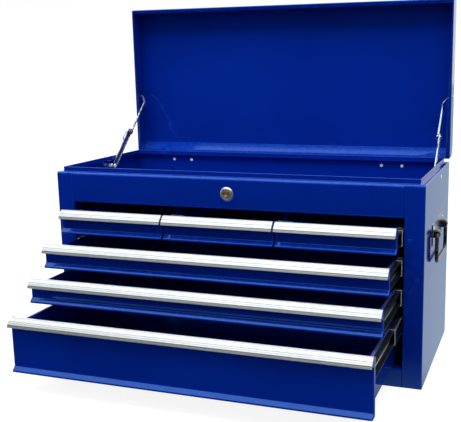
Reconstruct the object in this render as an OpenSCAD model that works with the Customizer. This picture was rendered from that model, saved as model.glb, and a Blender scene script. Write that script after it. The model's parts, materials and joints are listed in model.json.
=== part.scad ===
// Portable steel tool chest: a lidded top till above three small drawers
// and three wide drawers. It is drawn with the lid upright and the drawers
// staggered out, each by its own distance.
// Origin: centre of the flat underside. +X right, +Y back, +Z up. Millimetres.

/* [Cabinet] */
// Width across the two side panels
cab_w = 600; // [540:1:700]
// Depth from the front face to the back face
cab_d = 266; // [256:1:320]
// Thickness of the sheet metal
sheet = 1; // [0.8:0.1:1.2]
// Width of each front post
post_w = 29.5; // [26:0.5:38]
// Depth of the return behind each front post
post_return = 20; // [16:1:28]
// Height of the bottom rail
rail_face = 28.5; // [22:0.5:40]
// Height of the lock panel above the drawers
lock_panel_h = 48.5; // [46:0.5:70]
// Depth of the folds behind the lock panel and the bottom rail
fold_d = 15; // [10:1:22]
// Width of the ledge around the rim
ledge_w = 8; // [7.8:0.1:9]
// Height of the inner lip above the ledge
lip_h = 7; // [4:0.5:10]
// Height of the turned-up weld flanges of the floors
weld_flange = 12; // [8:1:16]
// Width of the uprights that hold the rails' rear ends
rear_post_w = 30; // [24:1:40]

/* [Drawers] */
// Height of a shallow drawer front with its pull
shallow_h = 37.5; // [36:0.5:44]
// Height of the deep drawer front with its pull
deep_h = 83; // [60:1:110]
// Gap between one row of drawers and the next
row_gap = 6.5; // [4:0.5:10]
// Gap between the deep drawer and the bottom rail
rail_gap = 4; // [2:0.5:8]
// Gap between the top row and the lock panel
top_gap = 6; // [3:0.5:10]
// Gap between a drawer front and the post beside it
side_gap = 2.5; // [2:0.1:4]
// Gap between two small fronts
front_gap = 2; // [1.5:0.1:3]
// Drop from the top of the pull to the top of the drawer box
box_drop = 9; // [8.5:0.5:12]
// Room between a closed drawer box and the back panel
box_back_gap = 24; // [18:1:40]
// How far the foot of a front kicks forward
kick = 5.5; // [3:0.5:8]
// Height where the foot starts to slope forward
kick_top = 8; // [6:0.5:12]
// Height of the upright edge under the slope
kick_edge = 2.5; // [2:0.5:4]
// Reach of the foot's turned-back edge behind the front face
kick_back = 2.8; // [1.5:0.1:5]
// Depth of the fold at each end of a front
front_fold = 8; // [4:0.5:9]
// Rest position: how far the small drawers stand out
top_open = 40; // [0:1:150]
// Rest position: how far the upper wide drawer stands out
upper_open = 89; // [0:1:150]
// Rest position: how far the middle wide drawer stands out
middle_open = 129; // [0:1:180]
// Rest position: how far the bottom drawer stands out
bottom_open = 181; // [0:1:200]

/* [Pulls] */
// Reach of the pull in front of the drawer
pull_reach = 10.4; // [8:0.2:14]
// Drop of the pull's sloping face
pull_drop = 10.6; // [9:0.2:13]
// Wall of the pull's extrusion
pull_wall = 1.2; // [1:0.1:1.6]
// Height of the pull's back plate
pull_back = 14; // [13.5:0.5:18]
// Height of the hook over the back of the front
pull_hook = 6.5; // [4:0.5:8]
// Bulge of the sloping face
pull_bulge = 1.1; // [0.5:0.1:2]
// Height of the grip lip turned back under the face
pull_lip = 1.6; // [1:0.1:2.5]

/* [Slides] */
// Width of a whole slide between cabinet and drawer box
slide_w = 12.7; // [11.5:0.1:14]
// Height of the rail fixed to the cabinet
rail_h = 27.2; // [25:0.1:27.6]
// Thickness of the slide steel
slide_gauge = 1.2; // [1:0.1:1.3]
// Running gap between two members of a slide
slide_play = 0.4; // [0.3:0.05:0.6]
// Distance from the top of a front down to its slide's centre
slide_drop = 23; // [22:0.5:24]
// Distance of the slide's front end behind the front face
slide_setback = 10; // [9.5:0.5:14]
// Room between the slide's rear end and the back panel
slide_end_gap = 10; // [6:1:20]
// How far the middle member is shorter than the rail
middle_short = 8; // [0:1:20]
// Rest position: how far the bottom middle members stand out of their rails
bottom_middle_out = 55; // [0:1:60]
// Rest position: how far the other middle members stand out of their rails
upper_middle_out = 10; // [0:1:30]

/* [Lid] */
// Height of the lid
lid_h = 38; // [32:1:60]
// Width of the turned-in flange on the lid's rim, with its wall
lid_flange = 7; // [5:0.1:7.2]
// Gap under the closed lid
seat_gap = 0.3; // [0.2:0.1:0.5]

/* [Hinges] */
// Distance of each hinge's centre from the middle
hinge_x = 201; // [120:1:230]
// Length of each hinge
hinge_len = 60; // [50:1:80]
// Height of each hinge leaf
leaf_h = 20; // [17:1:28]
// Thickness of each hinge leaf
leaf_t = 1.2; // [1:0.1:1.4]
// Outer radius of the hinge knuckle
knuckle_r = 3.4; // [3.2:0.1:3.6]
// Gap between the knuckle and the back panel
knuckle_gap = 0.3; // [0.2:0.1:0.5]
// Radius of the hinge pin
pin_r = 1.5; // [1.2:0.1:1.8]
// Running gap around pins and pivots
pivot_play = 0.05; // [0.02:0.01:0.1]
// Gap between two knuckles
knuckle_end_gap = 0.4; // [0.3:0.1:0.8]
// Distance between the two rivets of a leaf
leaf_rivet_pitch = 36; // [28:1:44]
// Distance from the hinge axis to the rivets
leaf_rivet_drop = 10; // [9:0.5:12]

/* [Rivets] */
// Radius of a rivet's shank
rivet_r = 2; // [1.6:0.1:2.4]
// Radius of a rivet's head
rivet_head_r = 3.8; // [3.2:0.1:4.2]
// Height of a rivet's head
rivet_head_h = 1; // [0.8:0.1:1.4]
// Gap around a rivet's shank
rivet_play = 0.05; // [0.02:0.01:0.1]

/* [Lid stays] */
// Distance of the lower pivot in front of the back face
stay_low_y = 105; // [100:1:110]
// Distance of the lower pivot below the rim
stay_low_z = 11; // [10:0.5:14]
// Distance of the upper pivot from the hinge axis along the lid
stay_high_y = 108; // [104:1:112]
// Height of the upper pivot above the lid's rim when closed
stay_high_z = 18.5; // [16:0.5:21]
// Length of the lower arm between its pivots
arm_len = 83; // [80:1:86]
// Width of the lower arm
arm_w = 12; // [10:0.5:14]
// Thickness of the lower arm
arm_t = 2; // [1.5:0.1:2.4]
// Gap between the inner lip and the arm
arm_lip_gap = 1.5; // [1.2:0.1:3]
// Radius of the pin that carries the arm
arm_pin_r = 2.5; // [2:0.1:3]
// Radius of the shoulder between side panel and arm
shoulder_r = 4; // [3.5:0.1:5]
// Radius of the bent rod
rod_r = 2; // [1.6:0.1:2.4]
// Radius of the rod's flattened eye
eye_r = 5.5; // [5:0.5:7]
// Gap between the rod and the arm
rod_gap = 0.3; // [0.2:0.1:0.6]

/* [Lock] */
// Height of the lock's centre above the lock panel's foot
lock_up = 23.5; // [22:0.5:26]
// Radius of the bezel
bezel_r = 11; // [10.5:0.5:14]
// Depth of the bezel in front of the panel
bezel_d = 2.5; // [1.5:0.5:4]
// Radius of the barrel
barrel_r = 9.5; // [8.5:0.1:10]
// Length of the barrel behind the panel's face
barrel_len = 21; // [16:1:26]
// Radius of the turning plug
plug_r = 6; // [5.4:0.1:6.6]
// How far the plug stands out of the bezel
plug_out = 0.4; // [0.2:0.1:1]
// Radius of the post inside the plug's ring groove
key_post_r = 3; // [2.6:0.1:3.6]
// Width of the plug's ring groove and key slot
key_groove = 1.4; // [1:0.1:1.6]
// Radius of the plug's tail that holds the cam
tail_r = 4; // [3:0.1:4.4]
// Length of the cam from the plug's axis
cam_len = 24; // [18:1:28]
// Width of the cam
cam_w = 12; // [11.5:0.5:16]
// Thickness of the cam and of the clip behind it
cam_t = 2; // [1.5:0.1:3]
// Distance across the flats of the nut
nut_flats = 24; // [22.5:0.5:28]
// Thickness of the nut
nut_t = 4; // [3:0.5:6]

/* [Side handles] */
// Height of the handle's pivot above the base
handle_z = 214; // [120:1:240]
// Length of the mounting plate
plate_len = 116; // [112:1:140]
// Height of the mounting plate
plate_h = 38; // [34:1:50]
// Thickness of the mounting plate
plate_t = 1.2; // [1:0.1:2]
// Distance between the plate's two rivets
plate_rivet_pitch = 98; // [90:1:100]
// Height of the plate's rivets above the pivot
plate_rivet_up = 9.5; // [9:0.5:12]
// Width of the bail between the centres of its legs
bail_w = 100; // [92:1:104]
// Drop of the bail from its pivot to its grip
bail_drop = 42; // [34:1:60]
// Radius of the bail's rod
bail_r = 3; // [2.5:0.1:3.4]
// Distance of the bail's axis from the side panel
bail_off = 6.2; // [6:0.1:8]
// Length of each loop that holds the bail
loop_len = 12; // [8:1:16]
// Wall of each loop
loop_wall = 1.9; // [1.5:0.1:2]
// Radius of the bail's lower corners
bail_bend = 9; // [6:1:14]

/* [Hidden] */
$fn = 48;
cut = 1;                                   // overshoot of every cut

paint = [0.02, 0.11, 0.48];
zinc = [0.72, 0.74, 0.76];
bright = [0.86, 0.88, 0.90];
brass = [0.78, 0.66, 0.38];
black = [0.07, 0.07, 0.08];

// Drawers by place
top_left = 0;
top_centre = 1;
top_right = 2;
upper = 3;
middle = 4;
bottom = 5;

front_y = -cab_d/2;
back_y = cab_d/2;
side_in = cab_w/2 - sheet;                 // inner face of a side panel
opening_half = cab_w/2 - post_w;
rim_in = ledge_w + sheet;                  // inner face of the lip
front_half = opening_half - side_gap;

// Heights of the drawer fronts' feet, row by row
bottom_z = rail_face + rail_gap;
middle_z = bottom_z + deep_h + row_gap;
upper_z = middle_z + shallow_h + row_gap;
top_z = upper_z + shallow_h + row_gap;
lock_panel_z = top_z + shallow_h + top_gap;
cab_h = lock_panel_z + lock_panel_h;
till_z = lock_panel_z + sheet;             // underside of the till's floor

function is_top(i) = i <= top_right;
function foot_z(i) = is_top(i) ? top_z : [upper_z, middle_z, bottom_z][i - upper];
function front_h(i) = i == bottom ? deep_h : shallow_h;
function open_by(i) = is_top(i) ? top_open : [upper_open, middle_open, bottom_open][i - upper];
function middle_out(i) = i == bottom ? bottom_middle_out : upper_middle_out;

// Small drawers share the opening's width in three
small_w = (2*front_half - 2*front_gap)/3;
divider_x = (small_w + front_gap)/2;
function column(i) = is_top(i) ? i - top_centre : 0;
function front_mid(i) = column(i)*(small_w + front_gap);
function front_w(i) = is_top(i) ? small_w : 2*front_half;
function bay_left(i) =
  is_top(i) && i > top_left ? (2*column(i) - 1)*divider_x + sheet/2 : -opening_half;
function bay_right(i) =
  is_top(i) && i < top_right ? (2*column(i) + 1)*divider_x - sheet/2 : opening_half;
function bay_mid(i) = (bay_left(i) + bay_right(i))/2;
function bay_half(i) = (bay_right(i) - bay_left(i))/2;

// Drawer box and slide
box_len = cab_d - 2*sheet - box_back_gap;
function box_half(i) = bay_half(i) - slide_w;
function box_h(i) = front_h(i) - box_drop - sheet;
function slide_z(i) = foot_z(i) + front_h(i) - slide_drop;
rail_len = cab_d - sheet - slide_setback - slide_end_gap;
middle_len = rail_len - middle_short;
middle_h = rail_h - 2*slide_gauge - 2*slide_play;
runner_h = middle_h - 2*slide_gauge - 2*slide_play;
runner_start = slide_setback - sheet;      // in line with the rail when closed
runner_len = box_len - runner_start;

// Hinge axis, a little above the ledge and behind the back face
hinge_y = back_y + knuckle_r + knuckle_gap;
hinge_z = cab_h + seat_gap;
knuckle_len = hinge_len/3;

// Lid stay: lower pivot on the cabinet, upper pivot on the lid.
// With the lid upright the arm and the rod lie in one line.
low_pivot = [back_y - stay_low_y, cab_h - stay_low_z];
high_pivot = [hinge_y + stay_high_z, hinge_z + stay_high_y];
stay_run = high_pivot - low_pivot;
stay_angle = atan2(stay_run[1], stay_run[0]);
rod_len = norm(stay_run) - arm_len;
arm_x = cab_w/2 - ledge_w - sheet - arm_lip_gap;   // outer face of the arm
eye_x = arm_x - arm_t - rod_gap;           // face of the rod's eye
rod_x = eye_x - rod_gap - rod_r;           // axis of the rod

lock_z = lock_panel_z + lock_up;
handle_x = cab_w/2 + bail_off;

// ---- helpers ------------------------------------------------------------

// The same piece on the right and on the left
module both_sides() {
  children();
  mirror([1, 0, 0]) children();
}

// A cylinder along X, from x0 to x1, in the plane place [y, z]
module rod_along_x(place, radius, x0, x1) {
  translate([x0, place[0], place[1]])
    rotate([0, 90, 0])
      cylinder(r = radius, h = x1 - x0);
}

// A cylinder along Y, from y0 to y1, at the place [x, z]
module rod_along_y(place, radius, y0, y1) {
  translate([place[0], y1, place[1]])
    rotate([90, 0, 0])
      cylinder(r = radius, h = y1 - y0);
}

// Steel channel along Y, open towards -X, its web's outer face at x = 0
module channel(depth, height, length) {
  translate([-depth, 0, -height/2])
    difference() {
      cube([depth, length, height]);
      translate([-slide_gauge, -cut, slide_gauge])
        cube([depth, length + 2*cut, height - 2*slide_gauge]);
    }
}

// The whole rim: a ledge around the top and the lip inside it
module rim() {
  difference() {
    union() {
      rim_block(0, cab_h - sheet, cab_h);
      rim_block(ledge_w, cab_h - sheet, cab_h + lip_h);
    }
    rim_block(rim_in, cab_h - sheet - cut, cab_h + lip_h + cut);
  }
}

module rim_block(inset, z0, z1) {
  translate([inset - cab_w/2, inset + front_y, z0])
    cube([cab_w - 2*inset, cab_d - 2*inset, z1 - z0]);
}

// Turns what is drawn as closed about the hinge axis, so that it stands open
module lid_open() {
  translate([0, hinge_y, hinge_z])
    rotate([-90, 0, 0])
      translate([0, -hinge_y, -hinge_z])
        children();
}

// ---- cabinet ------------------------------------------------------------

module side_panel_right() color(paint) {
  difference() {
    union() {
      translate([side_in, front_y, 0])
        cube([sheet, cab_d, cab_h - sheet]);
      translate([opening_half, front_y, 0])
        cube([post_w, sheet, cab_h - sheet]);
      translate([opening_half, front_y, sheet])
        cube([sheet, post_return, till_z - sheet]);
      translate([side_in - weld_flange, back_y - 2*sheet, sheet + weld_flange])
        cube([weld_flange + sheet, sheet, till_z - 2*sheet - weld_flange]);
      intersection() {
        rim();
        union() {
          translate([opening_half, front_y, 0])
            cube([post_w, rim_in, cab_h + lip_h]);
          translate([cab_w/2 - rim_in, front_y, 0])
            cube([rim_in, cab_d, cab_h + lip_h]);
        }
      }
    }
    rod_along_x(low_pivot, rivet_r + rivet_play, side_in - cut, cab_w/2 + cut);
    plate_rivet_places() rod_along_x([0, 0], rivet_r + rivet_play, side_in - cut, cab_w/2 + cut);
  }
}

module side_panel_left() mirror([1, 0, 0]) side_panel_right();

module back_panel() color(paint) {
  difference() {
    union() {
      translate([-side_in, back_y - sheet, 0])
        cube([2*side_in, sheet, cab_h - sheet]);
      intersection() {
        rim();
        translate([rim_in - cab_w/2, back_y - rim_in, 0])
          cube([cab_w - 2*rim_in, rim_in, cab_h + lip_h]);
      }
    }
    leaf_rivet_places(-1) rod_along_y([0, 0], rivet_r + rivet_play, back_y - sheet - cut, back_y + cut);
  }
}

module bottom_panel() color(paint) {
  floor_tray(0);
}

module till_floor() color(paint) {
  floor_tray(till_z);
}

// A floor between the side panels with flanges turned up at sides and back
module floor_tray(z) {
  y0 = front_y + sheet;
  y1 = back_y - sheet;
  side_y0 = y0 + 2*sheet;                  // relief at the front corners
  translate([-side_in, y0, z])
    cube([2*side_in, y1 - y0, sheet]);
  both_sides()
    translate([side_in - sheet, side_y0, z])
      cube([sheet, y1 - side_y0, sheet + weld_flange]);
  translate([-side_in, y1 - sheet, z])
    cube([2*side_in, sheet, sheet + weld_flange]);
}

module front_lock_panel() color(paint) {
  difference() {
    union() {
      translate([-opening_half, front_y, lock_panel_z])
        cube([2*opening_half, sheet, lock_panel_h - sheet]);
      translate([-opening_half, front_y, lock_panel_z])
        cube([2*opening_half, fold_d + sheet, sheet]);
      intersection() {
        rim();
        translate([-opening_half, front_y, 0])
          cube([2*opening_half, rim_in, cab_h + lip_h]);
      }
    }
    rod_along_y([0, lock_z], barrel_r + rivet_play, front_y - cut, front_y + sheet + cut);
  }
}

module bottom_rail() color(paint) {
  translate([-opening_half, front_y, 0])
    cube([2*opening_half, sheet, rail_face]);
  translate([-opening_half, front_y, rail_face - sheet])
    cube([2*opening_half, fold_d + sheet, sheet]);
  translate([-opening_half, front_y + fold_d, sheet])
    cube([2*opening_half, sheet, rail_face - sheet]);
}

// Hangs under the till's floor and carries the slides of two small drawers
module drawer_divider_right() color(paint) {
  y0 = front_y + slide_setback;
  foot = slide_z(top_left) - rail_h/2 - sheet;
  flange_y = front_y + sheet + fold_d + sheet;
  translate([divider_x - sheet/2, y0, foot])
    cube([sheet, rail_len, lock_panel_z - foot]);
  translate([divider_x - sheet/2, flange_y, lock_panel_z])
    cube([fold_d, y0 + rail_len - flange_y, sheet]);
}

module drawer_divider_left() mirror([1, 0, 0]) drawer_divider_right();

// Uprights at the back that hold the rails' rear ends in line with the posts
module rear_slide_posts() color(paint) {
  y1 = front_y + slide_setback + rail_len;
  y0 = y1 - rear_post_w;
  z0 = sheet + weld_flange;
  both_sides() {
    translate([opening_half, y0, sheet])
      cube([sheet, rear_post_w, till_z - sheet]);
    translate([opening_half, y1 - sheet, z0])
      cube([post_w - sheet, sheet, till_z - z0]);
    translate([side_in - sheet, y0, z0])
      cube([sheet, rear_post_w, till_z - z0]);
  }
}

// ---- slides -------------------------------------------------------------

// Both sides of a drawer's bay, with x = 0 on the right-hand mounting face
module bay_sides(i, y) {
  translate([bay_mid(i), y, slide_z(i)])
    both_sides()
      translate([bay_half(i), 0, 0])
        children();
}

module cabinet_slide_rails() color(zinc)
  for (i = [top_left : bottom])
    bay_sides(i, front_y + slide_setback)
      channel(slide_w - slide_gauge - 2*slide_play, rail_h, rail_len);

module slide_middles(i) color(zinc)
  bay_sides(i, front_y + slide_setback - middle_out(i))
    translate([-slide_gauge - slide_play, 0, 0])
      channel(slide_w - 2*slide_gauge - 2*slide_play, middle_h, middle_len);

// Fixed to the drawer box, open towards the cabinet
module drawer_runners(i) color(zinc)
  bay_sides(i, front_y + sheet - open_by(i) + runner_start)
    translate([-slide_w, 0, 0])
      mirror([1, 0, 0])
        channel(slide_w - 2*slide_gauge - 2*slide_play, runner_h, runner_len);

// ---- drawers ------------------------------------------------------------

module drawer_box(i) color(paint) {
  y0 = front_y - open_by(i) + sheet;
  half = box_half(i);
  translate([bay_mid(i), y0, foot_z(i) + sheet])
    difference() {
      translate([-half, 0, 0])
        cube([2*half, box_len, box_h(i)]);
      translate([sheet - half, sheet, sheet])
        cube([2*half - 2*sheet, box_len - 2*sheet, box_h(i)]);
    }
}

// Front in outline, seen from its end: x runs back, y runs up
function front_outer(h) = [
  [0, h - pull_wall],
  [0, kick_top],
  [-kick, kick_edge],
  [-kick, 0]
];
slope = atan2(kick, kick_top - kick_edge);
bend_in = sheet*tan(slope/2);              // how far an inner bend sits lower
function front_inner(h) = [
  [kick_back, 0],
  [kick_back, sheet],
  [sheet - kick, sheet],
  [sheet - kick, kick_edge - bend_in],
  [sheet, kick_top - bend_in],
  [sheet, h - pull_wall]
];

module drawer_front(i) color(paint) {
  h = front_h(i);
  w = front_w(i);
  translate([front_mid(i) - w/2, front_y - open_by(i), foot_z(i)]) {
    upright(w) polygon(concat(front_outer(h), front_inner(h)));
    for (x = [0, w - sheet])
      translate([x, 0, 0])
        upright(sheet)
          polygon([
            [0, h - pull_back],
            [0, kick_top],
            [-kick, kick_edge],
            [-kick, 0],
            [front_fold, 0],
            [front_fold, h - pull_back]
          ]);
  }
}

// Stands an outline up in the YZ plane and draws it out along +X
module upright(length) {
  rotate([90, 0, 90])
    linear_extrude(height = length)
      children();
}

// Sloping face of the pull, from its top rear edge down to its lip
pull_steps = 8;
face_angle = atan2(pull_drop, pull_reach);
face_out = [-sin(face_angle), cos(face_angle)];
function face_point(t, inset) =
  [-pull_reach*t, -pull_drop*t] + face_out*(pull_bulge*sin(180*t) - inset);

module drawer_pull(i) color(bright) {
  outer = [for (k = [0 : pull_steps]) face_point(k/pull_steps, 0)];
  inner = [for (k = [pull_steps : -1 : 2]) face_point(k/pull_steps, pull_wall)];
  lip = [
    [-pull_reach, -pull_drop - pull_lip],
    [pull_wall - pull_reach, -pull_drop - pull_lip]
  ];
  back_plate = [
    [-pull_wall, -pull_wall - pull_wall],
    [-pull_wall, -pull_back],
    [0, -pull_back],
    [0, -pull_wall],
    [sheet, -pull_wall],
    [sheet, -pull_hook],
    [sheet + pull_wall, -pull_hook],
    [sheet + pull_wall, 0]
  ];
  w = front_w(i);
  translate([front_mid(i) - w/2, front_y - open_by(i), foot_z(i) + front_h(i)])
    upright(w)
      polygon(concat(outer, lip, inner, back_plate));
}

// ---- lid ----------------------------------------------------------------

module lid_shell() color(paint) lid_open() {
  z0 = hinge_z;
  z1 = cab_h + lid_h;
  difference() {
    translate([-cab_w/2, front_y, z0])
      cube([cab_w, cab_d, z1 - z0]);
    translate([-side_in, front_y + sheet, z0 + sheet])
      cube([2*side_in, cab_d - 2*sheet, z1 - z0 - 2*sheet]);
    translate([lid_flange - cab_w/2, front_y + lid_flange, z0 - cut])
      cube([cab_w - 2*lid_flange, cab_d - lid_flange - sheet, 2*sheet + cut]);
    both_sides()
      rod_along_x(
        [hinge_y - stay_high_y, hinge_z + stay_high_z],
        rod_r + pivot_play, side_in - cut, cab_w/2 + cut
      );
    leaf_rivet_places(1) rod_along_y([0, 0], rivet_r + rivet_play, back_y - sheet - cut, back_y + cut);
  }
}

// ---- hinges -------------------------------------------------------------

// Rivets of the hinge leaves: side -1 below the axis, 1 above it
module leaf_rivet_places(side) {
  for (x = [-hinge_x, hinge_x], dx = [-leaf_rivet_pitch/2, leaf_rivet_pitch/2])
    translate([x + dx, 0, hinge_z + side*leaf_rivet_drop])
      children();
}

// One leaf drawn below the axis, with its knuckles given as [start, end] pairs
module hinge_leaf(knuckles) {
  notch = knuckle_r + 2*knuckle_gap;
  difference() {
    union() {
      translate([-hinge_len/2, back_y, hinge_z - leaf_h])
        cube([hinge_len, leaf_t, leaf_h - notch]);
      for (k = knuckles) {
        translate([k[0], back_y, hinge_z - notch])
          cube([k[1] - k[0], leaf_t, notch]);
        rod_along_x([hinge_y, hinge_z], knuckle_r, k[0], k[1]);
      }
    }
    rod_along_x([hinge_y, hinge_z], pin_r + pivot_play, -hinge_len, hinge_len);
    for (dx = [-leaf_rivet_pitch/2, leaf_rivet_pitch/2])
      translate([dx, 0, hinge_z - leaf_rivet_drop])
        rod_along_y([0, 0], rivet_r + rivet_play, back_y - cut, back_y + leaf_t + cut);
  }
}

module cabinet_hinge_leaves() color(zinc)
  for (x = [-hinge_x, hinge_x])
    translate([x, 0, 0])
      hinge_leaf([
        [-hinge_len/2, -knuckle_len/2 - knuckle_end_gap],
        [knuckle_len/2 + knuckle_end_gap, hinge_len/2]
      ]);

module lid_hinge_leaves() color(zinc) lid_open()
  for (x = [-hinge_x, hinge_x])
    translate([x, 0, 2*hinge_z])
      mirror([0, 0, 1])
        hinge_leaf([[-knuckle_len/2, knuckle_len/2]]);

module hinge_pins() color(bright)
  for (x = [-hinge_x, hinge_x])
    translate([x, 0, 0]) {
      rod_along_x([hinge_y, hinge_z], pin_r, -hinge_len/2 - rivet_head_h, hinge_len/2 + rivet_head_h);
      for (end = [-hinge_len/2 - rivet_head_h, hinge_len/2])
        rod_along_x([hinge_y, hinge_z], knuckle_r - knuckle_gap, end, end + rivet_head_h);
    }

// ---- rivets -------------------------------------------------------------

// A rivet along Y that clamps what lies between y0 and y1
module rivet_y(y0, y1) {
  rod_along_y([0, 0], rivet_r, y0 - rivet_head_h, y1 + rivet_head_h);
  rod_along_y([0, 0], rivet_head_r, y0 - rivet_head_h, y0);
  rod_along_y([0, 0], rivet_head_r, y1, y1 + rivet_head_h);
}

module lid_rivets() color(bright) lid_open()
  leaf_rivet_places(1) rivet_y(back_y - sheet, back_y + leaf_t);

// Rivets of the cabinet's hinge leaves and of the two handle plates
module cabinet_rivets() color(bright) {
  leaf_rivet_places(-1) rivet_y(back_y - sheet, back_y + leaf_t);
  both_sides()
    plate_rivet_places() {
      rod_along_x([0, 0], rivet_r, side_in - rivet_head_h, cab_w/2 + plate_t + rivet_head_h);
      rod_along_x([0, 0], rivet_head_r, side_in - rivet_head_h, side_in);
      rod_along_x([0, 0], rivet_head_r, cab_w/2 + plate_t, cab_w/2 + plate_t + rivet_head_h);
    }
}

// ---- lid stays ----------------------------------------------------------

// Shouldered rivets that carry the stay arms off the side panels
module stay_pivot_rivets() color(bright) both_sides() {
  rod_along_x(low_pivot, rivet_r, arm_x, cab_w/2 + rivet_head_h);
  rod_along_x(low_pivot, rivet_head_r, cab_w/2, cab_w/2 + rivet_head_h);
  rod_along_x(low_pivot, shoulder_r, arm_x + rod_gap, side_in);
  rod_along_x(low_pivot, arm_pin_r, eye_x - rivet_head_h, side_in);
  rod_along_x(low_pivot, shoulder_r, eye_x - rivet_head_h, eye_x);
}

// Drawn with its lower eye at the origin and its length along +Y
module stay_arm_right() color(zinc)
  translate([0, low_pivot[0], low_pivot[1]])
    rotate([stay_angle, 0, 0]) {
      difference() {
        union() {
          rod_along_x([0, 0], arm_w/2, arm_x - arm_t, arm_x);
          rod_along_x([arm_len, 0], arm_w/2, arm_x - arm_t, arm_x);
          translate([arm_x - arm_t, 0, -arm_w/2])
            cube([arm_t, arm_len, arm_w]);
        }
        rod_along_x([0, 0], arm_pin_r + pivot_play, arm_x - arm_t - cut, arm_x + cut);
      }
      rod_along_x([arm_len, 0], rivet_r, arm_x, arm_x + arm_lip_gap - rod_gap);
    }

module stay_arm_left() mirror([1, 0, 0]) stay_arm_right();

// From its eye beside the arm up to the lid, where its end turns outwards
module stay_rod_right() color(zinc)
  translate([0, high_pivot[0], high_pivot[1]])
    rotate([stay_angle, 0, 0]) {
      head_x = cab_w/2 + rod_gap;
      translate([rod_x, 0, 0])
        sphere(r = rod_r);
      rod_along_x([0, 0], rod_r, rod_x, head_x);
      rod_along_x([0, 0], rivet_head_r, head_x, head_x + rivet_head_h);
      rod_along_y([rod_x, 0], rod_r, -rod_len, 0);
      rod_along_x([-rod_len, 0], eye_r, rod_x - rod_r/2, eye_x);
      rod_along_x([-rod_len, 0], rivet_head_r, rod_x - rod_r - rivet_head_h/2, rod_x);
    }

module stay_rod_left() mirror([1, 0, 0]) stay_rod_right();

// ---- lock ---------------------------------------------------------------

// Bezel and barrel in one casting, and the nut that holds it behind the panel
module lock_housing() color(bright) {
  place = [0, lock_z];
  difference() {
    union() {
      rod_along_y(place, bezel_r, front_y - bezel_d, front_y);
      rod_along_y(place, barrel_r, front_y - bezel_d, front_y + barrel_len);
    }
    rod_along_y(place, plug_r + pivot_play, front_y - bezel_d - cut, front_y + barrel_len + cut);
  }
  difference() {
    translate([0, front_y + sheet + nut_t, lock_z])
      rotate([90, 0, 0])
        cylinder(r = nut_flats/2/cos(30), h = nut_t, $fn = 6);
    rod_along_y(place, barrel_r + rivet_play, front_y, front_y + sheet + nut_t + cut);
  }
}

cam_y = front_y + barrel_len + rod_gap;    // front face of the cam

module lock_plug() color(brass) {
  place = [0, lock_z];
  face = front_y - bezel_d - plug_out;
  difference() {
    union() {
      rod_along_y(place, plug_r, face, cam_y);
      rod_along_y(place, tail_r, face, cam_y + 2*cam_t);
      rod_along_y(place, plug_r, cam_y + cam_t, cam_y + 2*cam_t);
    }
    difference() {
      rod_along_y(place, key_post_r + key_groove, face - cut, face + key_post_r);
      rod_along_y(place, key_post_r, face - 2*cut, face + key_post_r + cut);
    }
    translate([-key_groove/2, face - cut, lock_z + key_post_r])
      cube([key_groove, cut + key_groove, plug_r]);
  }
}

// Flat cam on the plug's tail, pointing to the left when unlocked
module lock_cam() color(zinc) {
  difference() {
    union() {
      rod_along_y([0, lock_z], cam_w/2, cam_y, cam_y + cam_t);
      translate([-cam_len, cam_y, lock_z - cam_w/2])
        cube([cam_len, cam_t, cam_w]);
    }
    rod_along_y([0, lock_z], tail_r + rivet_play, cam_y - cut, cam_y + cam_t + cut);
  }
}

// ---- side handles -------------------------------------------------------

// Rivet places of the right-hand plate, as children at [y, z]
module plate_rivet_places() {
  for (y = [-plate_rivet_pitch/2, plate_rivet_pitch/2])
    translate([0, y, handle_z + plate_rivet_up])
      children();
}

loop_out = bail_r + pivot_play + loop_wall;
loop_end = bail_w/2 - bail_r - rod_gap;    // outer end of a loop, beside the leg

module handle_plate_right() color(zinc) {
  difference() {
    union() {
      translate([cab_w/2, -plate_len/2, handle_z - plate_h/2])
        cube([plate_t, plate_len, plate_h]);
      for (y = [-loop_end, loop_end - loop_len]) {
        rod_along_y([handle_x, handle_z], loop_out, y, y + loop_len);
        translate([cab_w/2, y, handle_z - loop_out])
          cube([bail_off, loop_len, 2*loop_out]);
      }
    }
    rod_along_y([handle_x, handle_z], bail_r + pivot_play, -plate_len, plate_len);
    plate_rivet_places()
      rod_along_x([0, 0], rivet_r + rivet_play, cab_w/2 - cut, cab_w/2 + plate_t + cut);
  }
}

module handle_plate_left() mirror([1, 0, 0]) handle_plate_right();

// A rod bent to a U, its two ends turned inwards through the plate's loops
module handle_bail_right() color(black)
  translate([handle_x, 0, handle_z])
    for (side = [0, 1])
      mirror([0, side, 0]) {
        half = bail_w/2;
        rod_along_y([0, 0], bail_r, loop_end - loop_len - rivet_head_h, half);
        translate([0, half, 0])
          sphere(r = bail_r);
        translate([0, half, bail_bend - bail_drop])
          cylinder(r = bail_r, h = bail_drop - bail_bend);
        translate([0, half - bail_bend, bail_bend - bail_drop])
          rotate([0, 90, 0])
            rotate_extrude(angle = 90)
              translate([bail_bend, 0])
                circle(r = bail_r);
        rod_along_y([0, -bail_drop], bail_r, -rivet_head_h, half - bail_bend);
      }

module handle_bail_left() mirror([1, 0, 0]) handle_bail_right();

// ---- pieces -------------------------------------------------------------

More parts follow.
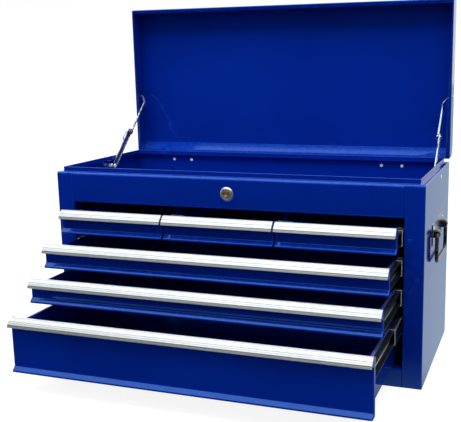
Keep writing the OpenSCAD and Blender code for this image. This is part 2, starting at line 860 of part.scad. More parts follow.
side_panel_left();
side_panel_right();
back_panel();
bottom_panel();
front_lock_panel();
bottom_rail();
till_floor();
drawer_divider_left();
drawer_divider_right();
rear_slide_posts();
cabinet_slide_rails();
cabinet_hinge_leaves();
hinge_pins();
cabinet_rivets();
stay_pivot_rivets();
lid_shell();
lid_hinge_leaves();
lid_rivets();
stay_arm_left();
stay_arm_right();
stay_rod_left();
stay_rod_right();
lock_housing();
lock_plug();
lock_cam();
handle_plate_left();
handle_plate_right();
handle_bail_left();
handle_bail_right();
drawer_box(top_left);  // top_left_drawer_box
drawer_front(top_left);  // top_left_drawer_front
drawer_pull(top_left);  // top_left_drawer_pull
drawer_runners(top_left);  // top_left_drawer_runners
slide_middles(top_left);  // top_left_slide_middles
drawer_box(top_centre);  // top_centre_drawer_box
drawer_front(top_centre);  // top_centre_drawer_front
drawer_pull(top_centre);  // top_centre_drawer_pull
drawer_runners(top_centre);  // top_centre_drawer_runners
slide_middles(top_centre);  // top_centre_slide_middles
drawer_box(top_right);  // top_right_drawer_box
drawer_front(top_right);  // top_right_drawer_front
drawer_pull(top_right);  // top_right_drawer_pull
drawer_runners(top_right);  // top_right_drawer_runners
slide_middles(top_right);  // top_right_slide_middles
drawer_box(upper);  // upper_drawer_box
drawer_front(upper);  // upper_drawer_front
drawer_pull(upper);  // upper_drawer_pull
drawer_runners(upper);  // upper_drawer_runners
slide_middles(upper);  // upper_slide_middles
drawer_box(middle);  // middle_drawer_box
drawer_front(middle);  // middle_drawer_front
drawer_pull(middle);  // middle_drawer_pull
drawer_runners(middle);  // middle_drawer_runners
slide_middles(middle);  // middle_slide_middles
drawer_box(bottom);  // bottom_drawer_box
drawer_front(bottom);  // bottom_drawer_front
drawer_pull(bottom);  // bottom_drawer_pull
drawer_runners(bottom);  // bottom_drawer_runners
slide_middles(bottom);  // bottom_slide_middles
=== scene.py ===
import json
import math
from functools import partial

import bmesh
import bpy
from mathutils import Matrix, Vector


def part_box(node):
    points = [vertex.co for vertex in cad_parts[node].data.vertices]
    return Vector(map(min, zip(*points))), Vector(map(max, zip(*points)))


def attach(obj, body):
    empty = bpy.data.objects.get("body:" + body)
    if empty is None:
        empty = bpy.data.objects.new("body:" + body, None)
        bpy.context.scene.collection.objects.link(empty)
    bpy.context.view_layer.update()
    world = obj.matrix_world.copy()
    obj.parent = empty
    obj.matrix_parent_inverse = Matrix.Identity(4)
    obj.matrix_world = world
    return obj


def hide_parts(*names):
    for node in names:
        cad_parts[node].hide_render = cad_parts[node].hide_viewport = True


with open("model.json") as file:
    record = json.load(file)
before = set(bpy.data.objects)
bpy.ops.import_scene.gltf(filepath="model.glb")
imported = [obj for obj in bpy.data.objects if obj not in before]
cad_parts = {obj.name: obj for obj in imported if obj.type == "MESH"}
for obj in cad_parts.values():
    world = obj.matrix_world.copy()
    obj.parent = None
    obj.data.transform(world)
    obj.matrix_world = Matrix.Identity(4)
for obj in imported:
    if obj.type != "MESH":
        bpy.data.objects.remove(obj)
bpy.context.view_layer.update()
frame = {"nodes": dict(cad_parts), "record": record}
cadNodes = frame["nodes"]
bodyOfNode = {n: b for b, names in frame["record"]["behaviour"]["bodies"].items() for n in names}
slotOfNode = {s["node"]: s["material_slot"] for s in frame["record"]["subparts"]}
drawers = ["top_left", "top_centre", "top_right", "upper", "middle", "bottom"]
print("frame loaded:", len(cadNodes), "nodes")


# adds a node; each input is a plain value or the output that it is wired to
def addNode(tree, kind, inputs=(), **settings):
    made = tree.nodes.new(kind)
    for key, value in settings.items():
        setattr(made, key, value)
    for key, value in dict(inputs).items():
        if isinstance(value, bpy.types.NodeSocket):
            tree.links.new(value, made.inputs[key])
        else:
            made.inputs[key].default_value = value
    return made


def freshTree(owner):
    owner.use_nodes = True
    owner.node_tree.nodes.clear()
    return owner.node_tree, partial(addNode, owner.node_tree)


# sets a tree's nodes out in columns that end at its last node
def layOut(tree, last):
    columns, wave = {last.name: 0}, [last]
    while wave:
        node = wave.pop()
        for before in (link.from_node for socket in node.inputs for link in socket.links):
            if columns.get(before.name, 0) <= columns[node.name]:
                columns[before.name] = columns[node.name] + 1
                wave.append(before)
    rows = {}
    for node in tree.nodes:
        column = columns.get(node.name, 0)
        rows[column] = rows.get(column, 0) + 1
        node.location = (-220 * column, -280 * rows[column])


# finishes: colour and shade are the two ends of the broad mottling, cloud, wearAndHighlightScale and grain are
# counted per metre, bendWearAndHighlight is the colour on the bends: wear, and on the blue paint and the dark
# zinc copies a painted highlight; each finish gives what differs from the plain one
plainFinish = dict(
    metal=0.0, shine=0.5, tint=(1, 1, 1), density=1.5, grain=700.0, stretch=(1, 1, 1), relief=0.000008,
    coat=0.0, coatRough=0.1, mottling=(0.38, 0.62), wearAndHighlightScale=140.0, patches=(0.42, 0.66), grit=(0.3, 0.7))
finishes = {
    # the lighter blue on its bends is a painted highlight
    "bluePaint": dict(
        colour=(0.0006, 0.0185, 0.262), shade=(0.0005, 0.0158, 0.232), cloud=5.0, shine=1.0,
        tint=(0.18, 0.48, 1.0), density=1.7, rough=(0.06, 0.11), grain=260.0, relief=0.000003,
        coat=0.15, coatRough=0.03, bendWearAndHighlight=(0.002, 0.045, 0.36), highlightAndWearAmount=0.5),
    "satinAluminium": dict(
        colour=(0.80, 0.86, 0.88), shade=(0.75, 0.81, 0.83), cloud=9.0, metal=0.85,
        rough=(0.26, 0.36), grain=900.0, stretch=(0.02, 1, 1), bendWearAndHighlight=(0.93, 0.94, 0.95), highlightAndWearAmount=0.5),
    "zincPlate": dict(
        colour=(0.72, 0.86, 0.90), shade=(0.58, 0.70, 0.74), cloud=70.0, metal=1.0,
        rough=(0.10, 0.20), bendWearAndHighlight=(0.80, 0.81, 0.82), highlightAndWearAmount=0.6),
    # a darker copy of the zinc for the left stay and the handle plates: painted shade, with a painted highlight
    # on its bends
    "shadedZinc": dict(
        colour=(0.27, 0.32, 0.40), shade=(0.21, 0.26, 0.33), cloud=70.0, metal=0.9,
        rough=(0.14, 0.26), bendWearAndHighlight=(0.90, 0.92, 0.95), highlightAndWearAmount=1.0),
    # a near-black copy of the zinc for the slides: painted shade, with a painted highlight on bends and cut
    # ends
    "shadedSlideZinc": dict(
        colour=(0.036, 0.040, 0.052), shade=(0.020, 0.023, 0.032), cloud=60.0, metal=0.6, shine=0.4,
        rough=(0.28, 0.45), stretch=(1, 0.05, 1), bendWearAndHighlight=(0.80, 0.84, 0.88), highlightAndWearAmount=1.0, patches=(0.15, 0.40)),
    "rivetSteel": dict(
        colour=(0.90, 0.93, 0.97), shade=(0.82, 0.86, 0.90), cloud=160.0, metal=0.1, shine=0.6,
        rough=(0.16, 0.28), grain=900.0, relief=0.000006, bendWearAndHighlight=(0.9, 0.9, 0.9), highlightAndWearAmount=0.4),
    "chromePlate": dict(
        colour=(0.88, 0.88, 0.86), shade=(0.78, 0.78, 0.76), cloud=120.0, metal=0.86, shine=0.6,
        rough=(0.10, 0.18), grain=800.0, relief=0.000004, bendWearAndHighlight=(0.92, 0.92, 0.93), highlightAndWearAmount=0.3),
    "lockBrass": dict(
        colour=(0.64, 0.51, 0.33), shade=(0.42, 0.32, 0.19), cloud=200.0, metal=0.8,
        rough=(0.12, 0.22), grain=900.0, relief=0.000006, bendWearAndHighlight=(0.80, 0.62, 0.34), highlightAndWearAmount=0.5),
    "blackEnamel": dict(
        colour=(0.008, 0.008, 0.010), shade=(0.014, 0.014, 0.016), cloud=60.0,
        rough=(0.18, 0.28), grain=600.0, coat=0.6, coatRough=0.06, bendWearAndHighlight=(0.10, 0.10, 0.11), highlightAndWearAmount=0.5),
}


def makeFinish(name, look):
    finish = bpy.data.materials.new(name)
    tree, add = freshTree(finish)
    place = add("ShaderNodeTexCoord").outputs["Object"]

    def noise(where, scale, detail):
        return add("ShaderNodeTexNoise", {"Vector": where, "Scale": scale, "Detail": detail}).outputs["Fac"]

    def stretched(source, span, low, high):
        spread = {"Value": source, "From Min": span[0], "From Max": span[1], "To Min": low, "To Max": high}
        return add("ShaderNodeMapRange", spread).outputs["Result"]

    # broad mottling of the colour
    cloud = stretched(noise(place, look["cloud"], 3.0), look["mottling"], 0.0, 1.0)
    mottle = add("ShaderNodeMix", {0: cloud, 6: (*look["shade"], 1), 7: (*look["colour"], 1)}, data_type="RGBA")
    # thin wear and painted highlight along the bends, broken up by a finer noise
    bends = add("ShaderNodeAttribute", attribute_name="bend").outputs["Fac"]
    patchy = stretched(noise(place, look["wearAndHighlightScale"], 4.0), look["patches"], 0.0, look["highlightAndWearAmount"])
    edge = add("ShaderNodeMath", {0: bends, 1: patchy}, operation="MULTIPLY").outputs[0]
    wearAndHighlightMix = add("ShaderNodeMix", {0: edge, 6: mottle.outputs[2], 7: (*look["bendWearAndHighlight"], 1)}, data_type="RGBA")
    # fine grain in roughness and relief
    brushed = add("ShaderNodeMapping", {"Vector": place, "Scale": look["stretch"]}).outputs[0]
    grain = noise(brushed, look["grain"], 2.0)
    gloss = stretched(grain, look["grit"], *look["rough"])
    relief = add("ShaderNodeBump", {"Height": grain, "Strength": 1.0, "Distance": look["relief"]})
    shader = add("ShaderNodeBsdfPrincipled", {
        "Base Color": wearAndHighlightMix.outputs[2], "Roughness": gloss, "Normal": relief.outputs["Normal"],
        "Metallic": look["metal"], "Specular IOR Level": look["shine"], "IOR": look["density"],
        "Specular Tint": (*look["tint"], 1), "Coat Weight": look["coat"], "Coat Roughness": look["coatRough"]})
    layOut(tree, add("ShaderNodeOutputMaterial", {"Surface": shader.outputs["BSDF"]}))
    return finish


finish = {name: makeFinish(name, {**plainFinish, **look}) for name, look in finishes.items()}
finishOfSlot = {
    "blue_paint": finish["bluePaint"], "pull_aluminium": finish["satinAluminium"],
    "zinc_steel": finish["zincPlate"], "bright_steel": finish["rivetSteel"],
    "chrome": finish["chromePlate"], "brass": finish["lockBrass"], "black_coat": finish["blackEnamel"],
}
for name, cadNode in cadNodes.items():
    cadNode.data.materials.clear()
    cadNode.data.materials.append(finishOfSlot[slotOfNode[name]])
print("finishes made:", len(finish))


# building helpers, all in millimetres until a piece is finished
def corners(node):
    low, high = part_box(node)
    return [v * 1000 for v in low], [v * 1000 for v in high]


def asMesh(name, bm):
    bmesh.ops.transform(bm, matrix=Matrix.Scale(0.001, 4), verts=bm.verts)
    mesh = bpy.data.meshes.new(name)
    bm.to_mesh(mesh)
    bm.free()
    return mesh


def linked(name, data):
    thing = bpy.data.objects.new(name, data)
    bpy.context.scene.collection.objects.link(thing)
    return thing


# the narrow slanting faces of a rounded bend or edge, which wear first and get a painted highlight
def markBends(mesh):
    marks = mesh.attributes.new("bend", "FLOAT", "FACE")
    for face in mesh.polygons:
        square = max(abs(c) for c in face.normal) > 0.995       # within 6 degrees of an axis
        marks.data[face.index].value = 0.0 if square else 1.0


def addModifier(piece, name, kind, **settings):
    step = piece.modifiers.new(name, kind)
    for key, value in settings.items():
        setattr(step, key, value)


# makes a mesh a piece of the chest, on the body of the node that it stands for
def finishMesh(name, mesh, standsFor, slotName=None, sharpAngle=35, cutEdge=0.0):
    slotName, body = slotName or slotOfNode[standsFor[0]], bodyOfNode[standsFor[0]]
    markBends(mesh)
    mesh.materials.clear()
    mesh.materials.append(finishOfSlot[slotName])
    mesh.shade_smooth()
    mesh.set_sharp_from_angle(angle=math.radians(sharpAngle))
    piece = linked(name, mesh)
    if cutEdge:
        addModifier(piece, "cutEdges", "BEVEL", width=cutEdge * 0.001, segments=2, limit_method="ANGLE",
                    angle_limit=math.radians(50))
    addModifier(piece, "flatShading", "WEIGHTED_NORMAL", keep_sharp=True)
    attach(piece, body)
    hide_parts(*standsFor)
    return piece


def finishPiece(name, bm, standsFor, **looks):
    return finishMesh(name, asMesh(name, bm), standsFor, **looks)


# sheet metal in millimetres and degrees; a fold is a pair of an outer and an inner corner, one gauge apart
sheetMetal = {"gauge": 1.0, "bendOut": 1.9, "bendIn": 0.9, "steps": 4, "hemRadius": 0.8, "hemBend": 1.5,
              "leastTurn": 25, "leastEdge": 0.4, "leastShared": 3.0, "sharedPart": 0.6, "pairSlack": 0.25,
              "alike": 0.999}


def cadCopy(node, weld=0.002, flatAngle=0.5):
    bm = bmesh.new()
    bm.from_mesh(cadNodes[node].data)
    bmesh.ops.transform(bm, matrix=Matrix.Scale(1000, 4), verts=bm.verts)
    bmesh.ops.remove_doubles(bm, verts=bm.verts, dist=weld)
    bmesh.ops.dissolve_limit(bm, angle_limit=math.radians(flatAngle), verts=bm.verts, edges=bm.edges)
    return bm


# flattens a square corner into a sloping band as wide as "out"
def slopeCorner(bm, out, here, leastLength=100, leastTurn=1):
    inwards = sheetMetal["gauge"] * (2 - math.sqrt(2))
    for reach, sign in ((out, 1), (out - inwards, -1)):
        found = [e for e in bm.edges if len(e.link_faces) == 2 and e.calc_length() > leastLength
                 and sign * e.calc_face_angle_signed() > leastTurn and here(e)]
        bmesh.ops.bevel(bm, geom=found, offset=reach, offset_type="OFFSET", segments=1, profile=0.5,
                        affect="EDGES", clamp_overlap=False)


# an outer and an inner edge of one fold run side by side, a gauge apart
def sameFold(outer, inner, look):
    along, way = ((e.verts[1].co - e.verts[0].co).normalized() for e in (inner, outer))
    gap, apart = outer.verts[0].co - inner.verts[0].co, look["gauge"] * math.sqrt(2)
    astray = abs((gap - along * gap.dot(along)).length - apart)
    if abs(way.dot(along)) < look["alike"] or astray > look["pairSlack"] * apart:
        return False
    ends, reach = (sorted(v.co.dot(along) for v in e.verts) for e in (inner, outer))
    shared = min(ends[1], reach[1]) - max(ends[0], reach[0])
    longest = max(outer.calc_length(), inner.calc_length())
    return shared > look["leastShared"] and shared > look["sharedPart"] * longest


# copies a sheet from the CAD and rounds its folds; the free edges stay as they are
def foldedSheet(node, wideBend=None, reshape=None, hem=None, **changes):
    look = {**sheetMetal, **changes}
    plainBend = {"out": look["bendOut"], "in": look["bendIn"]}
    widest = max(look["bendOut"], wideBend["out"] if wideBend else 0)
    bm = cadCopy(node)
    if reshape:
        reshape(bm)
    weight = bm.edges.layers.float.new("bevel_weight_edge")
    outer, inner = [], []
    for e in bm.edges:
        if len(e.link_faces) == 2 and e.calc_length() > look["leastEdge"]:
            turn = e.calc_face_angle_signed()
            if abs(turn) > math.radians(look["leastTurn"]):
                (outer if turn > 0 else inner).append(e)
    for f in inner:
        for e in outer:
            if sameFold(e, f, look):
                size = wideBend if wideBend and wideBend["here"](e) else plainBend
                e[weight], f[weight] = size["out"] / widest, size["in"] / widest
    blank = linked(node + "Blank", asMesh(node, bm))
    addModifier(blank, "bends", "BEVEL", width=widest * 0.001, segments=look["steps"], limit_method="WEIGHT",
                use_clamp_overlap=False)
    made = plainMesh(blank)
    if hem:
        bm = bmesh.new()
        bm.from_mesh(made)
        rolled = rodMesh(hem, look["hemRadius"], look["hemBend"], "blue_paint")
        bm.from_mesh(rolled)
        bm.to_mesh(made)
        bm.free()
        bpy.data.meshes.remove(rolled)
    return finishMesh("sheet_" + node, made, [node])


def plainMesh(piece):
    shown = bpy.context.evaluated_depsgraph_get()
    mesh = bpy.data.meshes.new_from_object(piece.evaluated_get(shown))
    bpy.data.objects.remove(piece)
    return mesh


# rounds the corner at "here": the (point, normal) pairs along its arc
def roundCorner(before, here, after, r, steps=4):
    wayIn, wayOut = (here - before).normalized(), (after - here).normalized()
    turn = math.atan2(wayIn.x * wayOut.y - wayIn.y * wayOut.x, wayIn.dot(wayOut))
    hand = 1 if turn > 0 else -1
    side = Vector((-wayIn.y, wayIn.x)) * hand
    centre = here - wayIn * (r * math.tan(abs(turn) / 2)) + side * r
    arms = [Matrix.Rotation(turn * k / steps, 2) @ (-side) for k in range(steps + 1)]
    return [(centre + arm * r, arm * -hand) for arm in arms]


# a folded strip's outline: centre line points (a, b), each corner between them rounded
def stripOutline(path, gauge, bend):
    points = [Vector(p) for p in path]
    half = gauge / 2

    def squareEnd(p, way):
        return p, Vector((-way.y, way.x)).normalized()

    line = [squareEnd(points[0], points[1] - points[0])]
    for before, here, after in zip(points, points[1:], points[2:]):
        line += roundCorner(before, here, after, bend + half)
    line.append(squareEnd(points[-1], points[-1] - points[-2]))
    return [p + n * half for p, n in line] + [p - n * half for p, n in reversed(line)]


# closes each pair of neighbouring rings with four-sided faces
def joinRings(bm, rings):
    for first, second in zip(rings, rings[1:]):
        for k in range(len(first)):
            j = (k + 1) % len(first)
            bm.faces.new((first[k], first[j], second[j], second[k]))


# the same with both ends closed
def closeRings(bm, rings):
    joinRings(bm, rings)
    bm.faces.new(rings[0])
    bm.faces.new(list(reversed(rings[-1])))
    bmesh.ops.recalc_face_normals(bm, faces=bm.faces)


# a point at (a, b) across an axis and at "along" on it
def spotOn(axis, along, a, b):
    return {"X": (along, a, b), "Y": (a, along, b)}[axis]


# draws an outline (a, b) out along one axis, from low to high
def drawOut(bm, outline, axis, low, high):
    closeRings(bm, [[bm.verts.new(spotOn(axis, along, *p)) for p in outline] for along in (low, high)])


# turns a profile of (radius, along) about an axis through centre
def turned(bm, profile, axis, centre, steps):
    rings = []
    for radius, along in profile:
        ring = []
        for k in range(steps if radius > 1e-6 else 1):
            a = 2 * math.pi * k / steps
            spot = spotOn(axis, along, radius * math.cos(a), radius * math.sin(a))
            ring.append(bm.verts.new(Vector(spot) + Vector(centre)))
        rings.append(ring)
    for first, second in zip(rings, rings[1:]):
        for k in range(steps):
            four = [first[k % len(first)], first[(k + 1) % len(first)],
                    second[(k + 1) % len(second)], second[k % len(second)]]
            face = list(dict.fromkeys(four))
            if len(face) > 2:
                bm.faces.new(face)
    bmesh.ops.recalc_face_normals(bm, faces=bm.faces)


def newTree(name, inputs):
    tree = bpy.data.node_groups.new(name, "GeometryNodeTree")
    tree.interface.new_socket("Geometry", in_out="INPUT", socket_type="NodeSocketGeometry")
    for label, kind in {**inputs, "Material": "Material"}.items():
        tree.interface.new_socket(label, in_out="INPUT", socket_type="NodeSocket" + kind)
    tree.interface.new_socket("Geometry", in_out="OUTPUT", socket_type="NodeSocketGeometry")
    return tree, partial(addNode, tree), tree.nodes.new("NodeGroupInput").outputs


# every tree ends in realized instances with the given finish on them
def closeTree(tree, add, shape, given):
    real = add("GeometryNodeRealizeInstances", {"Geometry": shape})
    dress = add("GeometryNodeSetMaterial", {"Geometry": real.outputs[0], "Material": given["Material"]})
    layOut(tree, add("NodeGroupOutput", {"Geometry": dress.outputs[0]}))
    return tree


# runs a tree on a mesh; its lengths are given in millimetres
def runTree(tree, mesh, name, coat, lengths, things=()):
    carrier = linked(name, mesh)
    step = carrier.modifiers.new(tree.name, "NODES")
    step.node_group = tree
    named = {s.name: s.identifier for s in tree.interface.items_tree if s.in_out == "INPUT"}
    values = {label: length * 0.001 for label, length in lengths.items()}
    for label, value in {**values, **dict(things), "Material": coat}.items():
        step[named[label]] = value
    return plainMesh(carrier)


def pointMesh(name, points, edges=()):
    mesh = bpy.data.meshes.new(name)
    mesh.from_pydata([Vector(p) * 0.001 for p in points], edges, [])
    return mesh


# how round the small parts are
sides = {"headSegments": 28, "headRings": 14, "shank": 24, "bend": 8, "rod": 20, "hole": 20}


# domed rivet heads on every vertex, each facing along the attribute "facing"
def makeRivetTree():
    tree, add, given = newTree("domedRivets", {
        "Head Radius": "Float", "Head Height": "Float", "Shank Radius": "Float", "Shank Length": "Float"})
    head = add("GeometryNodeMeshUVSphere", {
        "Radius": given["Head Radius"], "Segments": sides["headSegments"], "Rings": sides["headRings"]})
    ratio = add("ShaderNodeMath", {0: given["Head Height"], 1: given["Head Radius"]}, operation="DIVIDE")
    squash = add("ShaderNodeCombineXYZ", {0: 1.0, 1: 1.0, 2: ratio.outputs[0]})
    dome = add("GeometryNodeTransform", {"Geometry": head.outputs["Mesh"], "Scale": squash.outputs[0]})
    shank = add("GeometryNodeMeshCylinder", {
        "Vertices": sides["shank"], "Radius": given["Shank Radius"], "Depth": given["Shank Length"]})
    both = add("GeometryNodeJoinGeometry", {0: dome.outputs["Geometry"]})
    tree.links.new(shank.outputs["Mesh"], both.inputs[0])
    facing = add("GeometryNodeInputNamedAttribute", {"Name": "facing"}, data_type="FLOAT_VECTOR")
    aim = add("FunctionNodeAlignRotationToVector", {"Vector": facing.outputs["Attribute"]}, axis="Z")
    points = add("GeometryNodeMeshToPoints", {"Mesh": given["Geometry"]})
    placed = add("GeometryNodeInstanceOnPoints", {
        "Points": points.outputs["Points"], "Instance": both.outputs[0], "Rotation": aim.outputs["Rotation"]})
    return closeTree(tree, add, placed.outputs["Instances"], given)


# a round rod along a line of points, with its corners bent
def makeRodTree():
    tree, add, given = newTree("bentRod", {"Rod Radius": "Float", "Bend Radius": "Float"})
    line = add("GeometryNodeMeshToCurve", {"Mesh": given["Geometry"]})
    bent = add("GeometryNodeFilletCurve", {
        "Curve": line.outputs["Curve"], "Radius": given["Bend Radius"], "Count": sides["bend"]}, mode="POLY")
    ring = add("GeometryNodeCurvePrimitiveCircle", {"Resolution": sides["rod"], "Radius": given["Rod Radius"]})
    rod = add("GeometryNodeCurveToMesh", {
        "Curve": bent.outputs["Curve"], "Profile Curve": ring.outputs["Curve"], "Fill Caps": True})
    return closeTree(tree, add, rod.outputs["Mesh"], given)


# punches round holes through the web, on points that carry the hole's radius
def makePunchTree():
    tree, add, given = newTree("punchedWeb", {"Hole Points": "Object", "Hole Length": "Float"})
    info = add("GeometryNodeObjectInfo", {"Object": given["Hole Points"]})
    drill = add("GeometryNodeMeshCylinder", {"Vertices": sides["hole"], "Radius": 1.0, "Depth": 1.0})
    size = add("GeometryNodeInputNamedAttribute", {"Name": "radius"}, data_type="FLOAT").outputs["Attribute"]
    scale = add("ShaderNodeCombineXYZ", {0: size, 1: size, 2: given["Hole Length"]})
    turn = add("FunctionNodeEulerToRotation", {0: (0, math.pi / 2, 0)})
    points = add("GeometryNodeMeshToPoints", {"Mesh": info.outputs["Geometry"]})
    placed = add("GeometryNodeInstanceOnPoints", {
        "Points": points.outputs["Points"], "Instance": drill.outputs["Mesh"], "Rotation": turn.outputs[0],
        "Scale": scale.outputs[0]})
    real = add("GeometryNodeRealizeInstances", {"Geometry": placed.outputs["Instances"]})
    cut = add("GeometryNodeMeshBoolean", {"Mesh 1": given["Geometry"], "Mesh 2": real.outputs["Geometry"]},
              operation="DIFFERENCE")
    return closeTree(tree, add, cut.outputs["Mesh"], given)


rivetTree = makeRivetTree()
rodTree = makeRodTree()
punchTree = makePunchTree()


def rivets(name, spots, look, standsFor, slotName):
    mesh = pointMesh(name, [p for p, way in spots])
    facing = mesh.attributes.new("facing", "FLOAT_VECTOR", "POINT")
    for k, (p, way) in enumerate(spots):
        facing.data[k].vector = way
    made = runTree(rivetTree, mesh, name + "Points", finishOfSlot[slotName], look)
    return finishMesh(name, made, standsFor, slotName)


def rodMesh(points, radius, bend, slotName):
    line = pointMesh("rodLine", points, [(k, k + 1) for k in range(len(points) - 1)])
    size = {"Rod Radius": radius, "Bend Radius": bend}
    return runTree(rodTree, line, "rodLine", finishOfSlot[slotName], size)


# folded sheet metal: cabinet, lid and drawer boxes
for node in ["bottom_panel", "bottom_rail", "till_floor", "drawer_divider_left", "drawer_divider_right",
             "rear_slide_posts"]:
    foldedSheet(node)

# the rim: a rounded ledge at the front, and a lip inside it whose top edge is hemmed
rim = {"front": -133.0, "ledge": 302.0, "bendOut": 5.0, "bendIn": 4.0,
       "hemZ": 308.6, "lipY": 124.5, "lipX": 291.5, "openingX": 270.5}
lid = {"rear": 174.4, "foot": 306.0, "front": 136.7, "slope": 14.0, "flangeLean": 4.0, "sideFlange": 3.5,
       "flangeFrom": 5.0, "sideZone": 8.0, "bendOut": 2.6, "bendIn": 1.6}
drawerBox = {"bendOut": 1.6, "bendIn": 0.6}
near = 1.5                                      # reach around a corner when its points are picked


def onRimFront(e):
    return all(abs(v.co.y - rim["front"]) < 0.1 and abs(v.co.z - rim["ledge"]) < 0.1 for v in e.verts)


def onLidRear(e):
    return all(v.co.y > lid["rear"] - near and v.co.z < lid["foot"] + near for v in e.verts)


# the lid's lower rear corner slopes, and its flange is folded a little past square
def shapeLid(bm):
    slopeCorner(bm, lid["slope"], onLidRear)
    low, high = corners("lid_shell")
    for v in bm.verts:
        inside = min(v.co.x - low[0], high[0] - v.co.x, v.co.z - low[2], high[2] - v.co.z)
        if inside > lid["flangeFrom"] and v.co.y < lid["front"] + near:
            v.co.y += lid["flangeLean"]
            if min(v.co.x - low[0], high[0] - v.co.x) < lid["sideZone"]:
                v.co.x = math.copysign(high[0] - lid["sideFlange"], v.co.x)


wideRim = {"out": rim["bendOut"], "in": rim["bendIn"], "here": onRimFront}


# a point on the hem line, x across and y = +1 at the back or -1 at the front
def onHem(x, y):
    return x, y * rim["lipY"], rim["hemZ"]


opening, lip = rim["openingX"], rim["lipX"]
foldedSheet("front_lock_panel", wideBend=wideRim, hem=[onHem(-opening, -1), onHem(opening, -1)])
foldedSheet("back_panel", hem=[onHem(-lip, 1), onHem(lip, 1)])
for side, word in ((1, "right"), (-1, "left")):
    foldedSheet("side_panel_" + word, wideBend=wideRim,
                hem=[onHem(side * opening, -1), onHem(side * lip, -1), onHem(side * lip, 1)])
foldedSheet("lid_shell", bendOut=lid["bendOut"], bendIn=lid["bendIn"], reshape=shapeLid)
for drawer in drawers:
    foldedSheet(drawer + "_drawer_box", **drawerBox)
print("sheet metal folded")


# drawer fronts: heights up from the foot, reach forward of the face
frontPress = {"gauge": 1.0, "sideBend": 1.6, "kickTop": 8.0, "kick": 5.5, "kickEdge": 2.5,
              "bends": (1.8, 1.44, 0.9), "hemBack": 2.8, "fold": 8.0, "arcSteps": 5, "topGap": 0.2,
              "slack": 0.018}


def profileRows(top, look):
    path = [(0.0, top), (0.0, look["kickTop"]), (look["kick"], look["kickEdge"]), (look["kick"], 0.0),
            (-look["hemBack"], 0.0)]
    points = [Vector(p) for p in path]
    rows = [path[0]]
    for before, here, after, r in zip(points, points[1:], points[2:], look["bends"]):
        rows += [tuple(spot[0]) for spot in roundCorner(before, here, after, r)]
    return rows + [path[-1]]


def pressedFront(drawer):
    look = frontPress
    node = drawer + "_drawer_front"
    low, high = corners(node)
    face = low[1] + look["kick"]
    foot = low[2]
    rows = profileRows(high[2] - foot - look["topGap"], look)
    bm = bmesh.new()
    r, steps = look["sideBend"], look["arcSteps"]
    grid = []
    for reach, up in rows:
        # the rows under the foot stop short of the side folds
        under = up < look["bends"][-1] - look["slack"] and reach < look["kick"] - look["slack"]
        y = face - reach
        line = []
        if not under:
            line.append((low[0], face + look["fold"]))
        for k in range(steps + 1):
            a = math.pi / 2 * k / steps
            if under and k < steps:
                continue
            line.append((low[0] + r - r * math.cos(a), y + r - r * math.sin(a)))
        line += [(low[0] + high[0] - x, yy) for x, yy in reversed(line)]
        grid.append([bm.verts.new((x, yy, foot + up)) for x, yy in line])
    for upper, lower in zip(grid, grid[1:]):
        skip = (len(upper) - len(lower)) // 2
        cut = upper[skip:len(upper) - skip] if skip else upper
        for k in range(len(cut) - 1):
            bm.faces.new((cut[k], cut[k + 1], lower[k + 1], lower[k]))
    bmesh.ops.remove_doubles(bm, verts=bm.verts, dist=0.001)
    for f in bm.faces:
        f.normal_update()
    middle = max(bm.faces, key=lambda f: f.calc_area())
    if middle.normal.y > 0:
        bmesh.ops.reverse_faces(bm, faces=bm.faces)
    blank = linked(node + "Blank", asMesh(node, bm))
    addModifier(blank, "gauge", "SOLIDIFY", thickness=look["gauge"] * 0.001, offset=-1, use_even_offset=True)
    return finishMesh("front_" + drawer, plainMesh(blank), [node])


for drawer in drawers:
    pressedFront(drawer)
print("drawer fronts pressed")


# pulls: an extrusion with shallow flutes, two grooves and a flared lip
pullSection = {"reach": 9.2, "drop": 9.3, "bulge": 0.7, "wall": 1.2, "nose": 0.75, "neck": 0.9,
               "lipReach": 10.4, "lipFoot": 13.3, "back": 14.0, "hook": 6.5, "sheet": 1.0, "corner": 0.3,
               "flutes": 4, "fluteDepth": 0.05, "fluteFrom": 0.06, "fluteTo": 0.94, "grooves": (0.14, 0.60),
               "grooveHalf": 0.03, "grooveDepth": 0.22, "endGap": 0.6}


